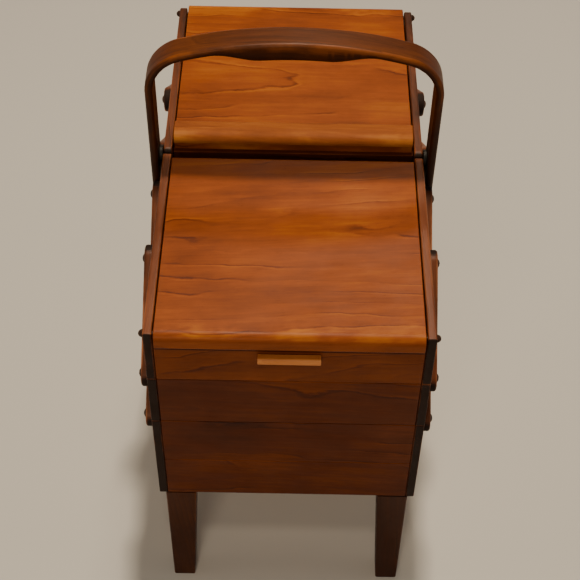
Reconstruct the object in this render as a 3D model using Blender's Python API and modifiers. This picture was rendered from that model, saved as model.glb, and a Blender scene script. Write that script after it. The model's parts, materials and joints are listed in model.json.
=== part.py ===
"""Cantilever sewing box on four legs, with a bentwood carrying handle.

A deep base carries two stacks of two trays. Each half of the box opens outwards on
leaning links that keep its trays level, and each upper tray has a lid that turns on
two pins. X runs across the box, Y along it (the front is -Y) and Z is up. The origin
is on the floor, under the middle of the box.
"""

from math import atan2, cos, hypot, pi, radians, sin, sqrt

import bmesh
import bpy
from mathutils import Matrix, Vector

MM = 0.001

# Overall sizes.
BOX_WIDTH = 250 * MM  # over the side boards
BOX_LENGTH = 460 * MM  # over both halves
COURSE = 62 * MM  # one tray, with the joint under it
PLINTH = 56.5 * MM  # lower course of the base
LEG_LENGTH = 160.5 * MM

# Boards and panels.
BOARD = 8 * MM
TRAY_PANEL = 4 * MM
BASE_PANEL = 6 * MM
SEAM = 2 * MM  # between the side boards of the two halves
END_RECESS = 0.5 * MM  # outer end boards sit this far inside the side boards' ends
INNER_RECESS = 6.5 * MM  # and the inner end boards this far
SEAM_CORNER = 5 * MM  # rounded upper corners of the top side boards
OUTER_CORNER = 2 * MM

# Lids and their fittings.
LID_THICKNESS = 10 * MM
LID_RISE = 3 * MM  # lid top above the side boards
LID_GAP = 1.5 * MM  # to each side board
LID_OPENING = 11 * MM  # from the middle of the box to a lid's inner edge
LID_EDGE = 3 * MM  # rounding of that edge
NOSE_HEIGHT = 18 * MM  # thick rail along the lid's outer edge
NOSE_TOP_EDGE = 8 * MM  # roundings of the rail
NOSE_LOW_EDGE = 4 * MM
NOSE_OVERHANG = 4.5 * MM  # rail beyond the side boards' ends
NOSE_RAIL = 8 * MM  # and behind its pin
LID_PIN_INSET = 5.5 * MM  # from the side boards' ends
LID_PIN_DROP = 4.5 * MM  # below the side boards' top
NOSE_CLEARANCE = 0.5 * MM  # over the outer end board
LID_PIN_DEPTH = 10 * MM
LID_PIN_HEAD = 3.5 * MM
BATTEN_WIDTH = 25.5 * MM
BATTEN_OVERHANG = 3.5 * MM  # beyond the lid's inner edge
BATTEN_HEIGHT = 9 * MM
BATTEN_NEAR_EDGE = 8.5 * MM  # rounding towards the opening
BATTEN_FAR_EDGE = 4 * MM
PULL_WIDTH = 55 * MM
PULL_DEPTH = 8 * MM
PULL_HEIGHT = 9 * MM
PULL_DROP = 21.3 * MM  # its top below the side boards' top
PULL_LIP = 2.5 * MM  # rounding of its front edge
PULL_UNDERCUT = 2 * MM
PULL_HOLLOW = 1 * MM

# Links.
INNER_PIVOT = 28 * MM  # innermost pivots, from the middle of the box
OUTER_PIVOT = 32 * MM  # outermost pivots, from the ends of the box
LINK_WIDTH = 25 * MM
LINK_THICKNESS = 8 * MM
WASHER = 1 * MM
WASHER_RADIUS = 6 * MM
PIN_RADIUS = 2 * MM
PIN_DEPTH = 7 * MM  # in the side board
HEAD_RADIUS = 4.5 * MM
HEAD_HEIGHT = 2.7 * MM

# Handle.
STRAP_THICKNESS = 7.5 * MM
STRAP_WIDTH = 28 * MM
STRAP_EDGE = 1.2 * MM
STRAP_STANDOFF = 3.75 * MM  # from the top trays' sides
HANDLE_RISE = 139.5 * MM  # above the side boards
HANDLE_CORNER = 45 * MM
CROWN_RADIUS = 377 * MM
GRIP_DROP = 12 * MM
GRIP_HALF = 31 * MM  # full depth
GRIP_END = 78 * MM  # back to the plain strap
BEND_BELOW = 4 * MM  # the strap's outward bend, from below the base's top edge
BEND_ABOVE = 25 * MM  # to above it
HANDLE_OVERLAP = 70 * MM  # down the side of the base
BUMPER_RADIUS = 7.8 * MM
BUMPER_DROP = 3 * MM  # bumper's centre below the top of the box
SCREW_RADIUS = 1.8 * MM
SCREW_GRIP = 6 * MM  # in the base's side board

# Legs.
LEG_TOP = 30 * MM
LEG_FOOT = 22 * MM
LEG_INSET = 6 * MM  # from the base's side faces
TENON_RADIUS = 5 * MM

FIT = 0.3 * MM  # gap between pieces that touch
ROUND_STEPS = 10  # sides of a pin or a hole

# Heights and places that follow.
BASE_LOW = LEG_LENGTH
BASE_MID = BASE_LOW + PLINTH
BASE_HIGH = BASE_MID + COURSE
LOWER_HIGH = BASE_HIGH + COURSE
TOP = LOWER_HIGH + COURSE
HALF_WIDTH = BOX_WIDTH / 2
HALF_LENGTH = BOX_LENGTH / 2
INNER_WIDTH = BOX_WIDTH - 2 * BOARD
BASE_PIVOT_Z = BASE_HIGH - COURSE / 2
LATTICE = (HALF_LENGTH - INNER_PIVOT - OUTER_PIVOT) / 2  # a link's lean over one course
PIVOT_Y = [INNER_PIVOT + LATTICE * i for i in range(3)]  # inner, middle, outer
LEAN = atan2(LATTICE, COURSE)
LINK_SPAN = hypot(LATTICE, COURSE)
LINK_X = HALF_WIDTH + FIT + WASHER  # a link's inner face
LID_TOP = TOP + LID_RISE
LID_PIN_Z = TOP - LID_PIN_DROP
LID_PIN_Y = HALF_LENGTH - LID_PIN_INSET
NOSE_Y = HALF_LENGTH + NOSE_OVERHANG
NOSE_LOW = LID_TOP - NOSE_HEIGHT
NOSE_SWING = max(  # how far the rail's rounded corners reach from the pin
    hypot(NOSE_Y - NOSE_TOP_EDGE - LID_PIN_Y, LID_TOP - NOSE_TOP_EDGE - LID_PIN_Z) + NOSE_TOP_EDGE,
    hypot(NOSE_Y - NOSE_LOW_EDGE - LID_PIN_Y, LID_PIN_Z - NOSE_LOW - NOSE_LOW_EDGE) + NOSE_LOW_EDGE,
)
OUTER_END_TOP = LID_PIN_Z - NOSE_SWING - NOSE_CLEARANCE
PULL_TOP = TOP - PULL_DROP
HOLE_RADIUS = PIN_RADIUS + FIT
FOOT_X = HALF_WIDTH + FIT  # the strap's inner face on the base
LEG_X = HALF_WIDTH + STRAP_STANDOFF  # and beside the top trays
HANDLE_LOW = BASE_HIGH - HANDLE_OVERLAP
HANDLE_SCREW_Z = [HANDLE_LOW + STRAP_WIDTH / 2, BASE_HIGH - STRAP_WIDTH / 2]

SIDES = (("left", -1), ("right", 1))
HALVES = (("front", -1), ("back", 1))

FINISHES = {
    "lid": ((0.36, 0.13, 0.035), 0.32),
    "side": ((0.20, 0.07, 0.03), 0.38),
    "end": ((0.14, 0.045, 0.015), 0.40),
    "link": ((0.16, 0.055, 0.022), 0.35),
    "panel": ((0.42, 0.24, 0.11), 0.60),
    "handle": ((0.10, 0.045, 0.022), 0.35),
    "pin": ((0.07, 0.03, 0.015), 0.45),
    "bumper": ((0.012, 0.010, 0.009), 0.60),
    "leg": ((0.12, 0.04, 0.015), 0.42),
}


def clear_scene():
    for obj in list(bpy.data.objects):
        bpy.data.objects.remove(obj, do_unlink=True)


def new_collection(name):
    collection = bpy.data.collections.new(name)
    bpy.context.scene.collection.children.link(collection)
    return collection


def paint(obj, finish):
    colour, roughness = FINISHES[finish]
    material = bpy.data.materials.new(obj.name)
    material.use_nodes = True
    shader = material.node_tree.nodes["Principled BSDF"]
    shader.inputs["Base Color"].default_value = (*colour, 1)
    shader.inputs["Roughness"].default_value = roughness
    shader.inputs["Metallic"].default_value = 0
    obj.data.materials.clear()
    obj.data.materials.append(material)


def body(name, place, parent=None):
    """An empty on a moving body's joint axis. Its pieces are its children."""
    empty = bpy.data.objects.new(name, None)
    empty.empty_display_size = 10 * MM
    empty["place"] = place
    parts.objects.link(empty)
    if parent:
        empty.parent = parent
        empty.location = Vector(place) - Vector(parent["place"])
    else:
        empty.location = place
    return empty


def attach(obj, owner):
    """Makes a piece that stands at its world location a child of its body."""
    obj.parent = owner
    obj.location = obj.location - Vector(owner["place"])
    return obj


def finish_piece(obj, owner, finish):
    parts.objects.link(obj)
    attach(obj, owner)
    paint(obj, finish)
    return obj


def mesh_object(name, mesh):
    return bpy.data.objects.new(name, mesh)


def block(name, low, high, owner, finish):
    """A rectangular board between two corners, with its origin at its middle."""
    size = Vector(high) - Vector(low)
    shape = bmesh.new()
    bmesh.ops.create_cube(shape, size=1)
    bmesh.ops.scale(shape, vec=size, verts=shape.verts)
    mesh = bpy.data.meshes.new(name)
    shape.to_mesh(mesh)
    shape.free()
    obj = mesh_object(name, mesh)
    obj.location = (Vector(low) + Vector(high)) / 2
    return finish_piece(obj, owner, finish)


def arc(centre, radius, start, end, steps):
    """Points on an arc, both ends included, with the angles in radians."""
    angles = [start + (end - start) * i / steps for i in range(steps + 1)]
    return [(centre[0] + radius * cos(a), centre[1] + radius * sin(a)) for a in angles]


def circle(centre, radius, steps=ROUND_STEPS):
    return arc(centre, radius, 0, 2 * pi, steps)[:-1]


def rounded(corners, steps=4):
    """A closed outline from (u, v, radius) corners, each rounded by its radius."""
    points = []
    for i, (u, v, radius) in enumerate(corners):
        here = Vector((u, v))
        if not radius:
            points.append((u, v))
            continue
        before = Vector(corners[i - 1][:2]) - here
        after = Vector(corners[(i + 1) % len(corners)][:2]) - here
        half_angle = before.angle(after) / 2
        bisector = (before.normalized() + after.normalized()).normalized()
        centre = here + bisector * (radius / sin(half_angle))
        reach = radius / (sin(half_angle) / cos(half_angle))
        first = here + before.normalized() * reach - centre
        last = here + after.normalized() * reach - centre
        turn = first.angle_signed(last)
        for step in range(steps + 1):
            spoke = first.copy()
            spoke.rotate(Matrix.Rotation(-turn * step / steps, 2))
            points.append(tuple(centre + spoke))
    return points


def flat_curve(name, outline, holes, thickness):
    """A 2D curve of an outline and its holes, filled and extruded to a thickness."""
    curve = bpy.data.curves.new(name, "CURVE")
    curve.dimensions = "2D"
    curve.fill_mode = "BOTH"
    curve.extrude = thickness / 2
    for ring in [outline, *holes]:
        spline = curve.splines.new("POLY")
        spline.points.add(len(ring) - 1)
        for point, (u, v) in zip(spline.points, ring):
            point.co = (u, v, 0, 1)
        spline.use_cyclic_u = True
    return curve


# Turns a flat curve's plane to face X, so that its u runs along Y and its v along Z.
FACING_X = (pi / 2, 0, pi / 2)
# And to face Y, so that its u runs along X and its v along Z.
FACING_Y = (pi / 2, 0, 0)


def plate(name, outline, holes, x_low, x_high, owner, finish):
    """A board that faces X, with its outline given as (y, z) points in the world."""
    _, origin_y, origin_z = owner["place"]

    def shifted(ring):
        return [(y - origin_y, z - origin_z) for y, z in ring]

    rings = [shifted(ring) for ring in (outline, *holes)]
    curve = flat_curve(name, rings[0], rings[1:], x_high - x_low)
    obj = bpy.data.objects.new(name, curve)
    obj.rotation_euler = FACING_X
    obj.location = ((x_low + x_high) / 2, origin_y, origin_z)
    return finish_piece(obj, owner, finish)


def to_mesh(obj):
    """Replaces a curve object by a mesh object of the same shape, with its caps welded."""
    bpy.context.view_layer.update()
    graph = bpy.context.evaluated_depsgraph_get()
    mesh = bpy.data.meshes.new_from_object(obj.evaluated_get(graph))
    shape = bmesh.new()
    shape.from_mesh(mesh)
    bmesh.ops.remove_doubles(shape, verts=shape.verts, dist=0.001 * MM)
    shape.to_mesh(mesh)
    shape.free()
    name, owner, place = obj.name, obj.parent, obj.matrix_world.copy()
    collections = list(obj.users_collection)
    bpy.data.objects.remove(obj)
    solid = mesh_object(name, mesh)
    for collection in collections:
        collection.objects.link(solid)
    solid.parent = owner
    bpy.context.view_layer.update()
    solid.matrix_world = place
    return solid


def turned(name, profile):
    """A round helper solid about Z, from (radius, height) points that run top to bottom."""
    mesh = bpy.data.meshes.new(name)
    points = [(radius, 0, height) for radius, height in profile]
    mesh.from_pydata(points, [(i, i + 1) for i in range(len(points) - 1)], [])
    obj = mesh_object(name, mesh)
    screw = obj.modifiers.new("turn", "SCREW")
    screw.steps = screw.render_steps = ROUND_STEPS
    screw.use_merge_vertices = True
    screw.merge_threshold = 0.00001
    screw.use_smooth_shade = True
    return obj


def helper(obj):
    """Puts a cutter or another helper where the build and a render leave it out."""
    cutters.objects.link(obj)
    obj.hide_render = True
    obj.display_type = "WIRE"
    return obj


def boolean(obj, other, operation):
    modifier = obj.modifiers.new(other.name, "BOOLEAN")
    modifier.operation = operation
    modifier.object = other
    return obj


def dome(radius, height, base):
    """Profile points of a domed head, from its crown to its rim."""
    return [(radius * sin(a), base + height * cos(a)) for a in (0, pi / 5, pi / 2.6, pi / 2)]


def baked(obj):
    """The evaluated mesh of a helper, and the helper is removed."""
    bpy.context.view_layer.update()
    graph = bpy.context.evaluated_depsgraph_get()
    mesh = bpy.data.meshes.new_from_object(obj.evaluated_get(graph))
    mesh.transform(obj.matrix_world)
    bpy.data.objects.remove(obj)
    return mesh


def cylinder(name, centre, radius, length, direction):
    """A plain round helper about X ('X') or Z ('Z')."""
    obj = turned(name, [(0, length / 2), (radius, length / 2), (radius, -length / 2), (0, -length / 2)])
    obj.location = centre
    if direction == "X":
        obj.rotation_euler = (0, pi / 2, 0)
    return helper(obj)


# ---------------------------------------------------------------- base

def side_outline(y_low, y_high, z_low, z_high, seam_radius, outer_radius, sign):
    """Outline of one half's side board, in world (y, z); sign is -1 for the front."""
    corners = [
        (y_low, z_low, 0),
        (y_high, z_low, 0),
        (y_high, z_high, outer_radius),
        (y_low, z_high, seam_radius),
    ]
    return [(sign * y, z) for y, z in rounded(corners)]


def make_base():
    pivots = [(sign * y, BASE_PIVOT_Z) for sign in (-1, 1) for y in PIVOT_Y[1:]]
    screws = [(0, z) for z in HANDLE_SCREW_Z]
    outline = [
        (-HALF_LENGTH, BASE_LOW),
        (HALF_LENGTH, BASE_LOW),
        (HALF_LENGTH, BASE_HIGH),
        (-HALF_LENGTH, BASE_HIGH),
    ]
    holes = [circle(place, HOLE_RADIUS) for place in pivots]
    holes += [circle(place, SCREW_RADIUS + FIT) for place in screws]
    for side, sign in SIDES:
        low, high = sorted((sign * (HALF_WIDTH - BOARD), sign * HALF_WIDTH))
        plate(f"base_{side}_side", outline, holes, low, high, base, "side")

    half = INNER_WIDTH / 2 - FIT
    for half_name, sign in HALVES:
        outer = sign * (HALF_LENGTH - END_RECESS)
        inner = sign * (HALF_LENGTH - END_RECESS - BOARD)
        low, high = sorted((outer, inner))
        for course, z_low, z_high in (
            ("lower", BASE_LOW, BASE_MID),
            ("upper", BASE_MID + FIT, BASE_HIGH),
        ):
            name = f"base_{half_name}_{course}_board"
            block(name, (-half, low, z_low), (half, high, z_high), base, "end")

    reach = HALF_LENGTH - END_RECESS - BOARD - FIT
    bottom = block(
        "base_bottom",
        (-half, -reach, BASE_LOW),
        (half, reach, BASE_LOW + BASE_PANEL),
        base,
        "panel",
    )
    for place in tenon_places():
        hole = cylinder("tenon_hole", (*place, BASE_LOW), TENON_RADIUS + FIT, 4 * BASE_PANEL, "Z")
        boolean(bottom, hole, "DIFFERENCE")


def tenon_places():
    x = HALF_WIDTH - LEG_INSET - LEG_TOP / 2
    y = HALF_LENGTH - LEG_TOP / 2
    return [(sx * x, sy * y) for _, sy in HALVES for _, sx in SIDES]


# ---------------------------------------------------------------- legs

def make_legs():
    """Four legs, tapered on their two inner faces, each with a round tenon on top."""
    height = LEG_LENGTH - FIT
    for half_name, sy in HALVES:
        for side, sx in SIDES:
            name = f"{half_name}_{side}_leg"
            shape = bmesh.new()
            bmesh.ops.create_cube(shape, size=1)
            for vert in shape.verts:
                width = LEG_TOP if vert.co.z > 0 else LEG_FOOT
                outer_x = vert.co.x * sx > 0
                outer_y = vert.co.y * sy > 0
                vert.co.x = sx * (LEG_TOP / 2 if outer_x else LEG_TOP / 2 - width)
                vert.co.y = sy * (LEG_TOP / 2 if outer_y else LEG_TOP / 2 - width)
                vert.co.z = height if vert.co.z > 0 else 0
            mesh = bpy.data.meshes.new(name)
            shape.to_mesh(mesh)
            shape.free()
            leg = mesh_object(name, mesh)
            x = sx * (HALF_WIDTH - LEG_INSET - LEG_TOP / 2)
            y = sy * (HALF_LENGTH - LEG_TOP / 2)
            leg.location = (x, y, 0)
            finish_piece(leg, base, "leg")
            length = 2 * (BASE_PANEL - FIT)
            tenon = cylinder(f"{name}_tenon", (x, y, height), TENON_RADIUS, length, "Z")
            boolean(leg, tenon, "UNION")


# ---------------------------------------------------------------- trays

def make_tray(half_name, sign, level, z_low, z_high, pivots, owner):
    """One tray: two side boards, an outer and an inner end board, and a bottom."""
    upper = level == "upper"
    name = f"{half_name}_{level}_tray"
    low = z_low + FIT
    outline = side_outline(
        SEAM / 2,
        HALF_LENGTH,
        low,
        z_high,
        SEAM_CORNER if upper else 0,
        OUTER_CORNER if upper else 0,
        sign,
    )
    pivot_z = z_high - COURSE / 2
    holes = [circle((sign * y, pivot_z), HOLE_RADIUS) for y in pivots]
    if upper:
        holes.append(circle((sign * LID_PIN_Y, LID_PIN_Z), HOLE_RADIUS))
    for side, side_sign in SIDES:
        x_low, x_high = sorted((side_sign * (HALF_WIDTH - BOARD), side_sign * HALF_WIDTH))
        plate(f"{name}_{side}_side", outline, holes, x_low, x_high, owner, "side")

    half = INNER_WIDTH / 2 - FIT
    outer = HALF_LENGTH - END_RECESS
    inner = SEAM / 2 + INNER_RECESS
    outer_top = OUTER_END_TOP if upper else z_high
    inner_top = LID_TOP - LID_THICKNESS - FIT if upper else z_high
    for end, y_near, y_far, top in (
        ("outer", outer - BOARD, outer, outer_top),
        ("inner", inner, inner + BOARD, inner_top),
    ):
        y_low, y_high = sorted((sign * y_near, sign * y_far))
        block(f"{name}_{end}_end", (-half, y_low, low), (half, y_high, top), owner, "end")

    y_low, y_high = sorted((sign * (inner + BOARD + FIT), sign * (outer - BOARD - FIT)))
    block(
        f"{name}_bottom",
        (-half, y_low, low),
        (half, y_high, low + TRAY_PANEL),
        owner,
        "panel",
    )


# ---------------------------------------------------------------- links

def pin_profile():
    """A link pin: domed head, stem through the link, washer collar and shank."""
    return [
        *dome(HEAD_RADIUS, HEAD_HEIGHT, LINK_THICKNESS),
        (HEAD_RADIUS, LINK_THICKNESS / 2),
        (WASHER_RADIUS, LINK_THICKNESS / 2),
        (WASHER_RADIUS, -WASHER),
        (PIN_RADIUS, -WASHER),
        (PIN_RADIUS, -WASHER - FIT - PIN_DEPTH),
        (0, -WASHER - FIT - PIN_DEPTH),
    ]


def link_mesh(spans):
    """A link that stands along Z with its lowest pin on X, and its pins joined to it."""
    length = spans * LINK_SPAN
    radius = LINK_WIDTH / 2
    ends = arc((0, 0), radius, -pi, 0, 8) + arc((0, length), radius, 0, pi, 8)
    bar = bpy.data.objects.new("link_bar", flat_curve("link_bar", ends, [], LINK_THICKNESS))
    bar.rotation_euler = FACING_X
    bar.location.x = LINK_THICKNESS / 2
    cutters.objects.link(bar)
    bar = to_mesh(bar)
    for step in range(spans + 1):
        pin = turned("link_pin", pin_profile())
        pin.rotation_euler = (0, pi / 2, 0)
        pin.location.z = step * LINK_SPAN
        boolean(bar, helper(pin), "UNION")
    return baked(bar)


def make_links(name, mesh, pivot_y, pivot_z, owners):
    """The left and right copies of one link, on each half of the box."""
    for half_name, sign in HALVES:
        for side, side_sign in SIDES:
            link = mesh_object(f"{half_name}_{side}_{name}_link", mesh.copy())
            turn = Matrix.Rotation(sign * LEAN, 3, "X")
            if side_sign < 0:
                turn = turn @ Matrix.Rotation(pi, 3, "Z")
            link.rotation_euler = turn.to_euler()
            link.location = (side_sign * LINK_X, sign * pivot_y, pivot_z)
            finish_piece(link, owners[half_name], "link")


# ---------------------------------------------------------------- lids

def lid_outline(sign):
    """The lid's section: a panel with a deeper, rounded rail about its pins."""
    bottom = LID_TOP - LID_THICKNESS
    corners = [
        (LID_OPENING, LID_TOP, LID_EDGE),
        (LID_OPENING, bottom, 0),
        (LID_PIN_Y - NOSE_RAIL, bottom, 0),
        (LID_PIN_Y - NOSE_RAIL, NOSE_LOW, 0),
        (NOSE_Y, NOSE_LOW, NOSE_LOW_EDGE),
        (NOSE_Y, LID_TOP, NOSE_TOP_EDGE),
    ]
    return [(sign * y, z) for y, z in rounded(corners)]


def make_lid(half_name, sign, owner):
    half = INNER_WIDTH / 2 - LID_GAP
    lid = plate(f"{half_name}_lid", lid_outline(sign), [], -half, half, owner, "lid")
    lid = to_mesh(lid)
    depth = LID_PIN_DEPTH + 3 * FIT
    for side, side_sign in SIDES:
        place = (side_sign * half, sign * LID_PIN_Y, LID_PIN_Z)
        hole = cylinder(f"{half_name}_{side}_lid_hole", place, HOLE_RADIUS, 2 * depth, "X")
        boolean(lid, hole, "DIFFERENCE")


def make_lid_pins(half_name, sign, owner):
    inner = INNER_WIDTH / 2 - LID_GAP - LID_PIN_DEPTH
    head = HALF_WIDTH + FIT
    profile = [
        *dome(LID_PIN_HEAD, LID_PIN_HEAD, head),
        (PIN_RADIUS, head),
        (PIN_RADIUS, inner),
        (0, inner),
    ]
    for side, side_sign in SIDES:
        pin = turned(f"{half_name}_{side}_lid_pin", profile)
        pin.rotation_euler = (0, side_sign * pi / 2, 0)
        pin.location = (0, sign * LID_PIN_Y, LID_PIN_Z)
        finish_piece(pin, owner, "pin")


def make_batten(owner):
    """The lifting batten on the back lid, rounded towards the opening."""
    low = LID_TOP + FIT
    high = low + BATTEN_HEIGHT
    near = LID_OPENING - BATTEN_OVERHANG
    far = near + BATTEN_WIDTH
    outline = rounded(
        [
            (near, low, 0),
            (far, low, 0),
            (far, high, BATTEN_FAR_EDGE),
            (near, high, BATTEN_NEAR_EDGE),
        ]
    )
    half = INNER_WIDTH / 2 - LID_GAP
    plate("back_lid_batten", outline, [], -half, half, owner, "lid")


def make_pull(half_name, sign, owner):
    """A finger pull on the outer end board, with a hollowed top and a rounded lip."""
    near = HALF_LENGTH - END_RECESS + FIT
    far = near + PULL_DEPTH
    low = PULL_TOP - PULL_HEIGHT
    corners = [
        (near, low, 0),
        (far - PULL_UNDERCUT, low, 0),
        (far, low + PULL_HEIGHT / 3, 0),
        (far, PULL_TOP, PULL_LIP),
        (near + PULL_DEPTH / 4, PULL_TOP - PULL_HOLLOW, 0),
        (near, PULL_TOP - PULL_HOLLOW, 0),
    ]
    outline = [(sign * y, z) for y, z in rounded(corners)]
    plate(f"{half_name}_pull", outline, [], -PULL_WIDTH / 2, PULL_WIDTH / 2, owner, "lid")


# ---------------------------------------------------------------- handle

def crown_points(half_span, rise, corner, crown):
    """Right half of an arch, from its springing to the middle: a corner arc, then the crown."""
    crown_z = rise - crown
    corner_x = half_span - corner
    corner_z = crown_z + sqrt((crown - corner) ** 2 - corner_x**2)
    meet = atan2(corner_z - crown_z, corner_x)
    return arc((corner_x, corner_z), corner, 0, meet, 7) + arc((0, crown_z), crown, meet, pi / 2, 5)[1:]


def ease(share):
    return (1 - cos(pi * min(max(share, 0), 1))) / 2


def leg_points(offset):
    """One side of the strap, from its foot up to the top trays, offset from its inner face."""
    bend_low = BASE_HIGH - BEND_BELOW
    bend_high = BASE_HIGH + BEND_ABOVE
    points = [(FOOT_X + offset, HANDLE_LOW)]
    for step in range(5):
        share = step / 4
        x = FOOT_X + (LEG_X - FOOT_X) * ease(share) + offset
        points.append((x, bend_low + (bend_high - bend_low) * share))
    return points


def make_handle():
    rise = TOP + HANDLE_RISE
    outer_span = LEG_X + STRAP_THICKNESS
    outer = leg_points(STRAP_THICKNESS)
    outer += crown_points(outer_span, rise, HANDLE_CORNER, CROWN_RADIUS)
    inner = leg_points(0)
    inner += crown_points(
        LEG_X,
        rise - STRAP_THICKNESS,
        HANDLE_CORNER - STRAP_THICKNESS,
        CROWN_RADIUS - STRAP_THICKNESS,
    )
    crown_z = rise - CROWN_RADIUS
    grip = []
    for step in range(7):
        x = GRIP_END * (1 - step / 6)
        depth = GRIP_DROP * ease((GRIP_END - x) / (GRIP_END - GRIP_HALF))
        grip.append((x, crown_z + sqrt((CROWN_RADIUS - STRAP_THICKNESS) ** 2 - x**2) - depth))
    inner = [point for point in inner if point[0] > GRIP_END] + grip
    left = [(-x, z) for x, z in reversed(outer[:-1])]
    inner_left = [(-x, z) for x, z in inner]
    inner_right = list(reversed(inner[:-1]))
    outline = outer + left + inner_left + inner_right
    curve = flat_curve("handle", outline, [], STRAP_WIDTH)
    handle = bpy.data.objects.new("handle", curve)
    handle.rotation_euler = FACING_Y
    finish_piece(handle, base, "handle")
    handle = to_mesh(handle)
    bevel = handle.modifiers.new("edges", "BEVEL")
    bevel.width = STRAP_EDGE
    bevel.segments = 1
    bevel.limit_method = "ANGLE"
    bevel.angle_limit = radians(50)
    for side, side_sign in SIDES:
        for z in HANDLE_SCREW_Z:
            place = (side_sign * (FOOT_X + STRAP_THICKNESS / 2), 0, z)
            hole = cylinder(f"{side}_handle_hole", place, SCREW_RADIUS + FIT, 4 * STRAP_THICKNESS, "X")
            boolean(handle, hole, "DIFFERENCE")


def make_handle_fittings():
    """Two screws into the base on each side, and a round bumper beside the top trays."""
    head = FOOT_X + STRAP_THICKNESS + FIT
    tip = HALF_WIDTH - SCREW_GRIP
    screw = [
        *dome(HEAD_RADIUS, HEAD_HEIGHT, head),
        (SCREW_RADIUS, head),
        (SCREW_RADIUS, tip),
        (0, tip),
    ]
    thickness = STRAP_STANDOFF - 2 * FIT
    disc = [(0, thickness), (BUMPER_RADIUS, thickness), (BUMPER_RADIUS, 0), (0, 0)]
    for side, side_sign in SIDES:
        for level, z in zip(("lower", "upper"), HANDLE_SCREW_Z):
            obj = turned(f"{side}_handle_{level}_screw", screw)
            obj.rotation_euler = (0, side_sign * pi / 2, 0)
            obj.location = (0, 0, z)
            finish_piece(obj, base, "pin")
        bumper = turned(f"{side}_handle_bumper", disc)
        bumper.modifiers["turn"].steps = bumper.modifiers["turn"].render_steps = 24
        bumper.rotation_euler = (0, side_sign * pi / 2, 0)
        bumper.location = (side_sign * (HALF_WIDTH + FIT), 0, TOP - BUMPER_DROP)
        finish_piece(bumper, base, "bumper")


# ---------------------------------------------------------------- assembly

clear_scene()
parts = new_collection("sewing_box")
cutters = new_collection("cutters")

base = body("base_body", (0, 0, 0))
make_base()
make_legs()
make_handle()
make_handle_fittings()

upper_owners, lower_owners, long_owners = {}, {}, {}
for half, toward in HALVES:
    inner_y, middle_y, outer_y = (toward * y for y in PIVOT_Y)
    pivot_2 = BASE_PIVOT_Z + COURSE
    pivot_3 = pivot_2 + COURSE
    long_owners[half] = body(f"{half}_long_links_body", (0, outer_y, BASE_PIVOT_Z), base)
    lower_owners[half] = body(f"{half}_lower_links_body", (0, middle_y, BASE_PIVOT_Z), base)
    lower_tray = body(f"{half}_lower_tray_body", (0, middle_y, pivot_2), long_owners[half])
    upper_tray = body(f"{half}_upper_tray_body", (0, inner_y, pivot_3), long_owners[half])
    upper_owners[half] = body(f"{half}_upper_links_body", (0, outer_y, pivot_2), lower_tray)
    lid_body = body(f"{half}_lid_body", (0, toward * LID_PIN_Y, LID_PIN_Z), upper_tray)
    make_tray(half, toward, "lower", BASE_HIGH, LOWER_HIGH, PIVOT_Y, lower_tray)
    make_tray(half, toward, "upper", LOWER_HIGH, TOP, PIVOT_Y[:2], upper_tray)
    make_lid(half, toward, lid_body)
    make_lid_pins(half, toward, upper_tray)
    make_pull(half, toward, upper_tray)
    if half == "back":
        make_batten(lid_body)

short_link = link_mesh(1)
long_link = link_mesh(2)
make_links("long", long_link, PIVOT_Y[2], BASE_PIVOT_Z, long_owners)
make_links("lower", short_link, PIVOT_Y[1], BASE_PIVOT_Z, lower_owners)
make_links("upper", short_link, PIVOT_Y[2], BASE_PIVOT_Z + COURSE, upper_owners)
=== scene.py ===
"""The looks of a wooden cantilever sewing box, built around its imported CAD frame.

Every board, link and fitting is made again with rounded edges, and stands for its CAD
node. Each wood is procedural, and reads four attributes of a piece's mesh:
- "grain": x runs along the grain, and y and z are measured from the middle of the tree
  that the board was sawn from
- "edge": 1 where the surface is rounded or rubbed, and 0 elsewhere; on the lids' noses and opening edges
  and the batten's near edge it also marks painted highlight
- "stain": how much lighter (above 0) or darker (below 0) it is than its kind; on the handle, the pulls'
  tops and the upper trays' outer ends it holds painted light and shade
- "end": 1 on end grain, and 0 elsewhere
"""

import json
from math import atan2, cos, hypot, pi, radians, sin, sqrt
from random import Random

import bmesh
import bpy
from mathutils import Matrix, Vector

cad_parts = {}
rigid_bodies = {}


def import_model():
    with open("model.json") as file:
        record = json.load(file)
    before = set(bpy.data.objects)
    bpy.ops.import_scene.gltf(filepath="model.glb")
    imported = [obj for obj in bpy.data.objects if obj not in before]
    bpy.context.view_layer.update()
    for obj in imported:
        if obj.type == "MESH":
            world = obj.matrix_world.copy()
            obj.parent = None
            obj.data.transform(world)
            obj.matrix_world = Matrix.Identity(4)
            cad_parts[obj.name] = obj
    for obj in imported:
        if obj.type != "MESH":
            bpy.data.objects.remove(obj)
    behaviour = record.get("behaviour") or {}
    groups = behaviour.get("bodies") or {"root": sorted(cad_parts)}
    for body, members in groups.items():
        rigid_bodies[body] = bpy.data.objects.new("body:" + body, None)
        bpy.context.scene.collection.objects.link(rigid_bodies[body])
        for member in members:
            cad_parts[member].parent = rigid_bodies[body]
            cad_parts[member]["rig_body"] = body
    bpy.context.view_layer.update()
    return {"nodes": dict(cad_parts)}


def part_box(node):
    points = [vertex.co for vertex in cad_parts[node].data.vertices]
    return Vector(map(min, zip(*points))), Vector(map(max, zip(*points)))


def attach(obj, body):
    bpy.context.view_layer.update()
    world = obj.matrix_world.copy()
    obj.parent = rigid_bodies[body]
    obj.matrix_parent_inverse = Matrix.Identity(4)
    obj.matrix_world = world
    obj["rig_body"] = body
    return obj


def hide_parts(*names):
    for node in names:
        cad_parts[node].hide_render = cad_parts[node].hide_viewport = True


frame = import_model()

MM = 0.001
SIDES = (("left", -1), ("right", 1))
HALVES = (("front", -1), ("back", 1))
FIT = 0.3 * MM  # gap between pieces that touch
BASE_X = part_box("base_right_side")[1].x  # outer face of the base's right side

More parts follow.
